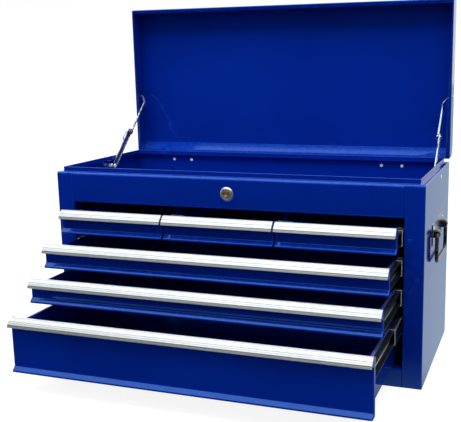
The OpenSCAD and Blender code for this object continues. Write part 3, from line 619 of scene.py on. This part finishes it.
def pullOutline(look):
    steep = math.atan2(look["drop"], look["reach"])
    out = Vector((-math.sin(steep), math.cos(steep)))
    wall, sheet, c = look["wall"], look["sheet"], look["corner"]
    fluteFrom, fluteTo = look["fluteFrom"], look["fluteTo"]

    def facePoint(t, inset, fluted):
        groove = 0.0
        if fluted and fluteFrom < t < fluteTo:
            turns = (t - fluteFrom) / (fluteTo - fluteFrom) * look["flutes"]
            groove = look["fluteDepth"] * (0.5 - 0.5 * math.cos(2 * math.pi * turns))
            for spot in look["grooves"]:
                groove += look["grooveDepth"] * max(0.0, 1 - abs(t - spot) / look["grooveHalf"])
        bulge = look["bulge"] * math.sin(math.pi * t)
        return Vector((-look["reach"] * t, -look["drop"] * t)) + out * (bulge - inset - groove)

    face = [facePoint(k / 120, 0, True) for k in range(5, 117)]
    centre = Vector((-look["reach"] + look["nose"], -look["drop"] - 0.1))
    nose = [centre + Vector((math.cos(a), math.sin(a))) * look["nose"] for a in (2.3, 2.7, 3.14, 3.5)]
    # under the nose a short upright neck, then the lip that flares out again
    neck, neckFoot = -look["reach"] + 0.15, -look["drop"] - look["neck"]
    tip, foot = -look["lipReach"], -look["lipFoot"]
    lip = [(neck, neckFoot + c), (neck - 0.1, neckFoot), (tip, foot + 0.45), (tip + 0.12, foot + 0.15),
           (tip + wall / 2, foot), (tip + wall, foot + 0.35), (tip + wall + 0.2, foot + 2.0),
           (neck + wall, neckFoot + c)]
    under = [facePoint(k / 20, wall, False) for k in range(18, 2, -1)]
    back, hook, heel = -look["back"], -look["hook"], sheet + wall
    plate = [(-wall, -wall * 2 - 0.6), (-wall, back + 0.4), (-wall * 0.7, back), (-c, back), (0, back + c),
             (0, -wall), (sheet, -wall), (sheet, hook + c), (sheet + c, hook), (heel - c, hook),
             (heel, hook + c), (heel, -0.7), (heel - 0.25, -0.2), (heel - 0.8, 0)]
    return face + nose + [Vector(p) for p in lip] + under + [Vector(p) for p in plate]


for drawer in drawers:
    node = drawer + "_drawer_pull"
    low, high = corners(node)
    bm = bmesh.new()
    rear = high[1] - pullSection["sheet"] - pullSection["wall"]
    outline = [(rear + p.x, high[2] + p.y) for p in pullOutline(pullSection)]
    drawOut(bm, outline, "X", low[0] + pullSection["endGap"], high[0] - pullSection["endGap"])
    finishPiece("pull_" + drawer, bm, [node], sharpAngle=50)
print("pulls drawn")


# rivets with domed heads; the sizes carry the names of the tree's inputs
rivetSize = {"Head Radius": 2.9, "Head Height": 1.0, "Shank Radius": 2.0, "Shank Length": 1.8}


# the low and high corners of a node's loose parts, in the mesh's own order so that each run gives the same
def boxesOf(node):
    bm = bmesh.new()
    bm.from_mesh(cadNodes[node].data)
    bmesh.ops.remove_doubles(bm, verts=bm.verts, dist=2e-6)
    found, seen = [], set()
    for first in bm.verts:
        if first in seen:
            continue
        seen.add(first)
        places, wave = [], [first]
        while wave:
            v = wave.pop()
            places.append(v.co * 1000)
            for o in (e.other_vert(v) for e in v.link_edges):
                if o not in seen:
                    seen.add(o)
                    wave.append(o)
        found.append(tuple(Vector([reach(p[k] for p in places) for k in range(3)]) for reach in (min, max)))
    bm.free()
    return found


def rivetSpots(node, inset):
    spots = []
    for low, high in boxesOf(node):
        size, middle = high - low, (low + high) / 2
        axis = min(range(3), key=lambda k: abs(size[k] - min(size)))
        for sign in (-1, 1):
            way = Vector((0, 0, 0))
            way[axis] = sign
            p = middle + way * (size[axis] / 2 - inset)
            spots.append((p, way))
    return spots


rivets("cabinet_rivets_domed", rivetSpots("cabinet_rivets", rivetSize["Head Height"]), rivetSize,
       ["cabinet_rivets"], "bright_steel")
# the heads inside the lid are painted with it, those on the hinge leaves are bare
lidSpots = rivetSpots("lid_rivets", rivetSize["Head Height"])
for sign, word, slotName in ((-1, "bare", "bright_steel"), (1, "painted", "blue_paint")):
    rivets("lid_rivets_" + word, [spot for spot in lidSpots if sign * spot[1].z > 0], rivetSize,
           ["lid_rivets"], slotName)
print("rivets set")


# hinge pins, stay pivots and the small folded parts
pins = {"headRadius": 3.1, "headHeight": 1.0, "pinRadius": 1.5, "x": 201.0, "halfLength": 30.0, "steps": 32}
pivots = {"shoulder": 4.0, "neck": 2.5, "shank": 2.0, "headRadius": 3.8, "headHeight": 1.0, "inner": 286.2,
          "armIn": 287.2, "armOut": 289.8, "panelIn": 299.0, "panelOut": 300.0, "y": 28.0, "z": 291.0,
          "steps": 32}


def domeEnd(radius, start, height):
    shape = ((1, 0), (0.97, 0.35), (0.84, 0.7), (0.58, 0.92), (0, 1))
    return [(radius * wide, start + height * up) for wide, up in shape]


def makeHingePins(look):
    low, high = corners("hinge_pins")
    bm = bmesh.new()
    for x in (-look["x"], look["x"]):
        end = look["halfLength"]
        half = [(look["pinRadius"], end)] + domeEnd(look["headRadius"], end, look["headHeight"])
        profile = [(r, x - a) for r, a in reversed(half)] + [(r, x + a) for r, a in half]
        turned(bm, profile, "X", (0, (low[1] + high[1]) / 2, (low[2] + high[2]) / 2), look["steps"])
    finishPiece("turned_hinge_pins", bm, ["hinge_pins"], sharpAngle=40)


def makePivots(look):
    bm = bmesh.new()
    for side in (-1, 1):
        dome = domeEnd(look["shoulder"], 0, look["armIn"] - look["inner"])
        profile = [(r, look["armIn"] - a) for r, a in reversed(dome)]
        for radius, start, end in (("neck", "armIn", "armOut"), ("shoulder", "armOut", "panelIn"),
                                   ("shank", "panelIn", "panelOut")):
            profile += [(look[radius], look[start]), (look[radius], look[end])]
        profile += domeEnd(look["headRadius"], look["panelOut"], look["headHeight"])
        turned(bm, [(r, side * a) for r, a in profile], "X", (0, look["y"], look["z"]), look["steps"])
    finishPiece("turned_stay_pivots", bm, ["stay_pivot_rivets"], sharpAngle=40)


makeHingePins(pins)
makePivots(pivots)
for node in ("cabinet_hinge_leaves", "lid_hinge_leaves"):
    finishPiece("rolled_" + node, cadCopy(node), [node], cutEdge=0.2)
finishPiece("filed_lock_cam", cadCopy("lock_cam"), ["lock_cam"], cutEdge=0.35)
print("hinges and cam made")


# slides: rolled channels with punched holes
slideSteel = {"gauge": 1.2, "bend": 1.3, "holeRadius": 2.2, "smallHole": 1.4, "holePitch": 32.0,
              "holeLength": 4.0, "endMargin": 16.0}


# where the channel's web is: +1 on its high x side, -1 on its low x side
def webSide(node, low, high):
    weight = {1: 0.0, -1: 0.0}
    for face in cadNodes[node].data.polygons:
        c, way = face.center * 1000, round(face.normal.x)
        inside = all(low[k] - 0.1 < c[k] < high[k] + 0.1 for k in range(3))
        if inside and abs(face.normal.x) > 0.99 and abs(c.x - (high.x if way > 0 else low.x)) < 0.02:
            weight[way] += face.area
    return 1 if weight[1] > weight[-1] else -1


def rolledChannels(node):
    look = slideSteel
    half = look["gauge"] / 2
    bm = bmesh.new()
    holes, sizes = [], []
    for low, high in boxesOf(node):
        side = webSide(node, low, high)
        web, lip = (high.x, low.x) if side > 0 else (low.x, high.x)
        path = [(lip, high.z - half), (web - side * half, high.z - half),
                (web - side * half, low.z + half), (lip, low.z + half)]
        drawOut(bm, stripOutline(path, look["gauge"], look["bend"] - half), "Y", low.y, high.y)
        length = high.y - low.y - 2 * look["endMargin"]
        count = int(length // look["holePitch"])
        for k in range(count + 1):
            holes.append((web, low.y + look["endMargin"] + length * k / count, (low.z + high.z) / 2))
            sizes.append(look["smallHole" if k % 2 else "holeRadius"])
    spots = pointMesh("holes", holes)
    radius = spots.attributes.new("radius", "FLOAT", "POINT")
    for k, r in enumerate(sizes):
        radius.data[k].value = r * 0.001
    drill = linked("holes", spots)
    made = runTree(punchTree, asMesh(node, bm), node + "Blank", finish["shadedSlideZinc"],
                   {"Hole Length": look["holeLength"]}, {"Hole Points": drill})
    bpy.data.objects.remove(drill)
    finishMesh("rolled_" + node, made, [node])
    # the slides get the near-black copy of the zinc: painted shade
    made.materials[0] = finish["shadedSlideZinc"]
    marks = made.attributes["bend"]
    for face in made.polygons:                  # the cut ends get the same painted highlight as the bends
        if abs(face.normal.y) > 0.9:
            marks.data[face.index].value = 1.0


rolledChannels("cabinet_slide_rails")
for drawer in drawers:
    rolledChannels(drawer + "_drawer_runners")
    rolledChannels(drawer + "_slide_middles")
print("slides rolled")


# lid stays: a pressed arm on the cabinet and a bent rod on the lid
# catch is (along, across) from the elbow, the turned profiles are (radius, x)
stay = {"armWidth": 12.0, "armLength": 83.0, "wall": 0.8, "round": 0.6, "lead": 0.25, "pivotLow": (28.0, 291.0),
        "pivotHigh": (155.2, 410.3), "armIn": 287.5, "armOut": 289.5, "catchX": 288.6, "catchRadius": 0.8,
        "catchBend": 3.0, "catch": ((-8, 4.5), (-3, 9.5), (-22, 10.5), (-27, 7.5)),
        "elbowOut": ((0, 291.0), (2.0, 291.0), (2.0, 289.4)),
        "elbowIn": ((2.0, 287.4), (2.0, 283.2), (0, 283.2)),
        "rodX": 284.9, "rodRadius": 1.9, "rodBend": 4.0, "rodLength": 91.4, "rodStart": 3.0, "offsetRun": 15.0,
        "offsetX": 294.5, "lidWall": 300.3, "elbowSteps": 20, "eyeSteps": 32, "headSteps": 28,
        "eye": ((2.2, 287.1), (4.6, 287.1), (5.2, 286.7), (5.2, 284.6), (4.6, 284.1), (2.2, 284.1),
                (2.2, 287.1)),
        "head": ((0, 281.9), (1.6, 282.1), (2.8, 282.6), (3.6, 283.4), (3.6, 284.0), (2.3, 284.0)),
        "cap": ((0, 301.3), (1.8, 301.2), (3.0, 300.9), (3.7, 300.4), (3.7, 300.3), (1.8, 300.3))}


def capsule(length, radius, steps=10):
    points = []
    for k in range(steps + 1):
        a = math.pi / 2 + math.pi * k / steps
        points.append((radius * math.cos(a), radius * math.sin(a)))
    for k in range(steps + 1):
        a = -math.pi / 2 + math.pi * k / steps
        points.append((length + radius * math.cos(a), radius * math.sin(a)))
    return points


# a pressed channel with rounded ends, its rim turned inwards
def pressedArm(look, side, place):
    bm = bmesh.new()
    full, r, w = look["armWidth"] / 2, look["round"], look["wall"]
    inner, outer = look["armIn"], look["armOut"]
    lead = inner + look["lead"]
    rim = [(full - w / 2, inner), (full, lead), (full, outer - r), (full - r * 0.3, outer - r * 0.3),
           (full - r, outer)]
    hollow = [(full - w / 2, inner), (full - w, lead), (full - w, outer - w)]
    for group in (rim, hollow):
        loops = [[bm.verts.new(place(side * x, s, t)) for s, t in capsule(look["armLength"], radius)]
                 for radius, x in group]
        joinRings(bm, loops)
        bm.faces.new(loops[-1])
    bmesh.ops.remove_doubles(bm, verts=bm.verts, dist=0.01)
    bmesh.ops.recalc_face_normals(bm, faces=bm.faces)
    return bm


def addRod(bm, points, radius, bend, slotName):
    rod = rodMesh(points, radius, bend, slotName)
    bmesh.ops.transform(bm, matrix=Matrix.Scale(0.001, 4), verts=bm.verts)
    bm.from_mesh(rod)
    bmesh.ops.transform(bm, matrix=Matrix.Scale(1000, 4), verts=bm.verts)
    bpy.data.meshes.remove(rod)


def makeStay(side, word, look, coat):
    lowY, lowZ = look["pivotLow"]
    highY, highZ = look["pivotHigh"]
    slope = math.atan2(highZ - lowZ, highY - lowY)
    way = Vector((0, math.cos(slope), math.sin(slope)))
    across = Vector((0, -math.sin(slope), math.cos(slope)))

    def onArm(x, s, t):
        return Vector((x, lowY, lowZ)) + way * s + across * t

    def onRod(x, s):
        return Vector((x, highY, highZ)) - way * s

    def turnedAt(bm, profile, centre, steps):
        turned(bm, [(r, side * along) for r, along in profile], "X", centre, steps)

    # the arm, with its catch (a bent tongue on the front edge) and its half of the elbow's rivet
    elbow = look["armLength"]
    bm = pressedArm(look, side, onArm)
    catch = [onArm(side * look["catchX"], elbow + s, t) for s, t in look["catch"]]
    addRod(bm, catch, look["catchRadius"], look["catchBend"], "zinc_steel")
    for profile in ("elbowOut", "elbowIn"):
        turnedAt(bm, look[profile], onArm(0, elbow, 0), look["elbowSteps"])
    arm = finishPiece("pressed_stay_arm_" + word, bm, ["stay_arm_" + word], sharpAngle=40)

    # the rod: from its eye beside the arm, up and out to the lid's side wall
    x, run = side * look["rodX"], look["offsetRun"]
    points = [onRod(x, look["rodLength"] - look["rodStart"]), onRod(x, run), onRod(side * look["offsetX"], 0),
              onRod(side * look["lidWall"], 0)]
    rod = bmesh.new()
    addRod(rod, points, look["rodRadius"], look["rodBend"], "zinc_steel")
    turnedAt(rod, look["eye"], onRod(0, look["rodLength"]), look["eyeSteps"])
    turnedAt(rod, look["head"], onRod(0, look["rodLength"]), look["headSteps"])
    turnedAt(rod, look["cap"], onRod(0, 0), look["headSteps"])
    bent = finishPiece("bent_stay_rod_" + word, rod, ["stay_rod_" + word], sharpAngle=40)
    for piece in (arm, bent):
        piece.data.materials[0] = coat


makeStay(1, "right", stay, finish["zincPlate"])
makeStay(-1, "left", stay, finish["shadedZinc"])      # the left one looks much duller in the photo, so it gets a darker copy of the zinc: painted shade
print("stays bent")


# lock: profiles are (radius, depth behind the panel or behind the plug's face)
lock = {"z": 277.0, "front": -133.0, "steps": 64,
        "housing": ((11.0, 0), (11.0, -0.2), (10.5, -0.8), (9.7, -1.5), (8.8, -2.05), (8.0, -2.4), (7.5, -2.5),
                    (7.1, -2.3), (6.8, -1.6), (6.6, -0.6), (6.06, -0.4), (6.06, 20.6), (6.5, 21.0), (9.0, 21.0),
                    (9.5, 20.5), (9.5, 0), (11.0, 0)),
        "nut": {"flats": 24.0, "bore": 9.6, "from": 1.0, "to": 5.0, "chamfer": 1.4, "chamferDeep": 0.8},
        "plugFace": ((0, 2.6), (0.8, 2.45), (1.5, 1.9), (2.1, 1.0), (2.5, 0.35), (2.75, 0.2), (3.0, 0.4),
                     (3.0, 3.0), (4.4, 3.0), (4.4, 0.5), (4.7, 0.15), (5.4, 0), (5.8, 0.25), (6.0, 0.8)),
        "plugTail": ((6.0, 4.0), (4.0, 4.0), (4.0, 2.0), (5.9, 2.0), (5.9, 0.3), (5.6, 0), (0, 0)),
        "notch": {"from": 4.3, "to": 4.8, "half": 0.75, "deep": 2.0, "out": 5.5}}


def makeLock(look):
    centre = (0, look["front"], look["z"])
    housing, nut = bmesh.new(), look["nut"]
    turned(housing, look["housing"], "Y", centre, look["steps"])
    flat, low, high = nut["flats"] / 2 / math.cos(math.pi / 6), nut["from"], nut["to"]
    side = flat - nut["chamfer"]
    turned(housing, [(nut["bore"], low), (side, low), (flat, low + nut["chamferDeep"]),
                     (flat, high - nut["chamferDeep"]), (side, high), (nut["bore"], high), (nut["bore"], low)],
           "Y", centre, 6)
    bmesh.ops.remove_doubles(housing, verts=housing.verts, dist=0.001)
    finishPiece("turned_lock_housing", housing, ["lock_housing"], sharpAngle=32)

    plug, notch = bmesh.new(), look["notch"]
    low, high = corners("lock_plug")
    face, tail = low[1] - look["front"], high[1] - look["front"]
    profile = [(r, face + deep) for r, deep in look["plugFace"]]
    profile += [(r, tail - deep) for r, deep in look["plugTail"]]
    turned(plug, profile, "Y", centre, look["steps"])
    for v in plug.verts:                        # the key's notch at the top of the groove
        dx, dz = v.co.x, v.co.z - look["z"]
        r = math.hypot(dx, dz)
        inFront = v.co.y < look["front"] + face + notch["deep"]
        if notch["from"] < r < notch["to"] and dz > 0 and abs(dx) < notch["half"] and inFront:
            v.co.x, v.co.z = dx * notch["out"] / r, look["z"] + dz * notch["out"] / r
    finishPiece("turned_lock_plug", plug, ["lock_plug"], sharpAngle=32)


makeLock(lock)
print("lock turned")


# side handles
handle = {"face": 300.0, "plate": 1.2, "z": 214.0, "corner": 5.0, "edge": 0.35, "axisX": 306.2, "bail": 3.0,
          "earOut": 4.95, "earTall": 6.4, "earWidth": 12.0, "earGap": 0.6, "earSink": 0.05, "earFlank": 1.6,
          "earFoot": (1.25, 0.12), "hole": 3.06, "earTip": 0.74, "legY": 50.0, "drop": 42.0, "bend": 9.0,
          "pinIn": 33.0, "cornerSteps": 6, "earSteps": 8, "earSides": 32}


def roundedPlate(bm, side, yHalf, zLow, zHigh, look):
    corner, e = look["corner"], look["edge"]
    y, top, foot = yHalf - corner, zHigh - corner, zLow + corner

    def loop(inset, x):
        r, points = corner - inset, []
        for quarter, (cy, cz) in enumerate(((y, top), (-y, top), (-y, foot), (y, foot))):
            for k in range(look["cornerSteps"] + 1):
                a = math.pi / 2 * (quarter + k / look["cornerSteps"])
                points.append(bm.verts.new((side * x, cy + r * math.cos(a), cz + r * math.sin(a))))
        return points

    x0, x1 = look["face"], look["face"] + look["plate"]
    closeRings(bm, [loop(0, x0), loop(0, x1 - e), loop(e * 0.3, x1 - e * 0.3), loop(e, x1)])


# a domed ear round the bail's pin: outside loop and pin hole joined ring by ring
def domedEar(bm, side, yFrom, yTo, look):
    count, base, axis = look["earSides"], look["face"] + look["plate"] - look["earSink"], look["axisX"]
    middle, half = (yFrom + yTo) / 2, abs(yTo - yFrom) / 2
    swell, least = look["earFoot"]
    outer, inner = [], []
    for k in range(look["earSteps"] + 1):
        u = -1 + 2 * k / look["earSteps"]
        y, grow = middle + half * u, look["earTip"] + (1 - look["earTip"]) * math.sqrt(max(0.0, 1 - u * u))
        outside, inside = [], []
        for j in range(count):
            c, s = math.cos(2 * math.pi * j / count), math.sin(2 * math.pi * j / count)
            x, z = axis + look["earOut"] * grow * c, look["earTall"] * grow * s
            if c < 0:                           # towards the plate the ear keeps its height
                x = axis + (base - axis) * min(1.0, -c * look["earFlank"])
                z = math.copysign(look["earTall"] * grow * min(1, abs(s) * swell + least), s)
            outside.append(bm.verts.new((side * x, y, look["z"] + z)))
            inside.append(bm.verts.new((side * (axis + look["hole"] * c), y, look["z"] + look["hole"] * s)))
        outer.append(outside)
        inner.append(inside)
    joinRings(bm, outer)
    joinRings(bm, inner)
    for k in (0, -1):
        joinRings(bm, (outer[k], inner[k]))
    bmesh.ops.recalc_face_normals(bm, faces=bm.faces)


def makeHandle(side, word):
    look = handle
    node = "handle_plate_" + word
    low, high = corners(node)
    plate, ears, rod = bmesh.new(), bmesh.new(), bmesh.new()
    roundedPlate(plate, side, high[1], low[2], high[2], look)
    pressed = finishPiece("pressed_" + node, plate, [node], sharpAngle=40)
    # the plate gets the darker copy of the zinc: painted shade
    pressed.data.materials[0] = finish["shadedZinc"]
    earEnd = look["legY"] - look["bail"] - look["earGap"]
    for sign in (-1, 1):
        domedEar(ears, side, sign * (earEnd - look["earWidth"]), sign * earEnd, look)
    finishPiece("domed_ears_" + word, ears, [node], slotName="black_coat", sharpAngle=45)
    x, z, leg, pin = side * look["axisX"], look["z"], look["legY"], look["pinIn"]
    foot = z - look["drop"]
    points = [(x, -pin, z), (x, -leg, z), (x, -leg, foot), (x, leg, foot), (x, leg, z), (x, pin, z)]
    addRod(rod, points, look["bail"], look["bend"], "black_coat")
    finishPiece("bent_bail_" + word, rod, ["handle_bail_" + word], sharpAngle=50)


makeHandle(1, "right")
makeHandle(-1, "left")
print("handles set")


# camera, light and floor
photoCamera = {"place": (0.4567, -1.2055, 0.4737), "turn": 19.06, "tilt": 10.89, "roll": -0.78,
               "focal": 777.7, "shift": 50.0, "frameWidth": 461.0}


def makeCamera(look):
    turn, tilt, roll = (math.radians(look[k]) for k in ("turn", "tilt", "roll"))
    ahead = Vector((-math.sin(turn) * math.cos(tilt), math.cos(turn) * math.cos(tilt), -math.sin(tilt)))
    right = Vector((math.cos(turn), math.sin(turn), 0))
    up = right.cross(ahead)
    tiltedRight = right * math.cos(roll) + up * math.sin(roll)
    tiltedUp = up * math.cos(roll) - right * math.sin(roll)
    data = bpy.data.cameras.new("photoCamera")
    data.lens = look["focal"] / look["frameWidth"] * data.sensor_width
    data.shift_x = -look["shift"] / look["frameWidth"]
    camera = linked("photoCamera", data)
    axes = Matrix((tiltedRight, tiltedUp, -ahead)).transposed().to_4x4()
    camera.matrix_world = Matrix.Translation(look["place"]) @ axes
    bpy.context.scene.camera = camera


studio = {
    "worldLow": 0.42, "worldHigh": 1.2,         # what the sky gives to matt surfaces
    # what gloss sees of the studio
    "mirrorFront": 0.0, "mirrorTop": 1.3, "mirrorSky": 1.0, "mirrorFloor": 0.62,
    "mirrorTint": (0.80, 0.95, 1.12),
    # where each of these rises: by height or depth in the sky, by metres on the floor
    "mattRise": (-0.1, 1.0), "topRise": (0.40, 0.85), "backRise": (-0.35, 0.25), "floorRise": (-0.30, 0.0),
    "topLamp": dict(place=(0.0, -0.75, 2.0), size=(1.8, 1.0), power=46.0),
    "frontLamp": dict(place=(-0.9, -2.4, 1.3), size=(2.0, 1.6), power=5.0),
    "lampAim": (0, 0, 0.2), "floorShade": 0.22, "floorLift": 0.88, "floorHalf": 14.0,
}


def smoothRamp(add, source, rise, low, high):
    ramp = add("ShaderNodeMapRange", {
        "Value": source, "From Min": rise[0], "From Max": rise[1], "To Min": low, "To Max": high},
        interpolation_type="SMOOTHSTEP")
    return ramp.outputs["Result"]


def greater(add, one, other):
    return add("ShaderNodeMath", {0: one, 1: other}, operation="MAXIMUM").outputs[0]


# what tells the camera's rays from those that gloss sends out
def rayKinds(add):
    path = add("ShaderNodeLightPath").outputs
    return path["Is Camera Ray"], greater(add, path["Is Glossy Ray"], path["Is Transmission Ray"])


def makeWorld(look):
    world = bpy.data.worlds.new("studio")
    bpy.context.scene.world = world
    tree, add = freshTree(world)
    world.cycles.sampling_method = "NONE"       # so that each ray sees the studio it is meant to
    camera, shiny = rayKinds(add)
    place = add("ShaderNodeTexCoord").outputs["Generated"]
    split = add("ShaderNodeSeparateXYZ", {0: place}).outputs
    matt = smoothRamp(add, split["Z"], look["mattRise"], look["worldLow"], look["worldHigh"])
    above = smoothRamp(add, split["Z"], look["topRise"], look["mirrorFront"], look["mirrorTop"])
    behind = smoothRamp(add, split["Y"], look["backRise"], look["mirrorFront"], look["mirrorSky"])
    first = add("ShaderNodeMix", {0: shiny, 2: matt, 3: greater(add, above, behind)})
    second = add("ShaderNodeMix", {0: camera, 2: first.outputs[0], 3: 1.0})
    paint = add("ShaderNodeBackground", {"Color": (1, 1, 1, 1), "Strength": second.outputs[0]})
    layOut(tree, add("ShaderNodeOutputWorld", {"Surface": paint.outputs[0]}))


def makeLamp(name, look, aim):
    data = bpy.data.lights.new(name, "AREA")
    data.shape = "RECTANGLE"
    data.size, data.size_y = look["size"]
    data.energy = look["power"]
    lamp = linked(name, data)
    lamp.location = look["place"]
    lamp.visible_glossy = False                 # gloss shows the studio's walls, not the lamps
    lamp.rotation_euler = (Vector(aim) - Vector(look["place"])).to_track_quat("-Z", "Y").to_euler()


def makeFloor(look):
    mesh, s = bpy.data.meshes.new("studioFloor"), look["floorHalf"]
    mesh.from_pydata([(-s, -s, 0), (s, -s, 0), (s, s, 0), (-s, s, 0)], [], [(0, 1, 2, 3)])
    floor = linked("studioFloor", mesh)
    surface = bpy.data.materials.new("studioFloor")
    tree, add = freshTree(surface)
    surface.cycles.emission_sampling = "NONE"
    camera, shiny = rayKinds(add)
    matt = add("ShaderNodeBsdfDiffuse", {"Color": (look["floorShade"],) * 3 + (1,)})
    white = add("ShaderNodeEmission", {"Strength": look["floorLift"]})
    seen = add("ShaderNodeAddShader", {0: matt.outputs[0], 1: white.outputs[0]})
    # gloss sees a pale floor behind and beside the chest and a dim one in front of it
    place = add("ShaderNodeTexCoord").outputs["Object"]
    depth = add("ShaderNodeSeparateXYZ", {0: place}).outputs["Y"]
    pale = smoothRamp(add, depth, look["floorRise"], look["mirrorFront"], look["mirrorFloor"])
    mirror = add("ShaderNodeEmission", {"Color": (*look["mirrorTint"], 1), "Strength": pale})
    first = add("ShaderNodeMixShader", {0: shiny, 1: matt.outputs[0], 2: mirror.outputs[0]})
    second = add("ShaderNodeMixShader", {0: camera, 1: first.outputs[0], 2: seen.outputs[0]})
    layOut(tree, add("ShaderNodeOutputMaterial", {"Surface": second.outputs[0]}))
    mesh.materials.append(surface)


makeCamera(photoCamera)
makeWorld(studio)
for lamp in ("topLamp", "frontLamp"):
    makeLamp(lamp, studio[lamp], studio["lampAim"])
makeFloor(studio)
bpy.context.scene.view_settings.view_transform = "Standard"
print("studio set")
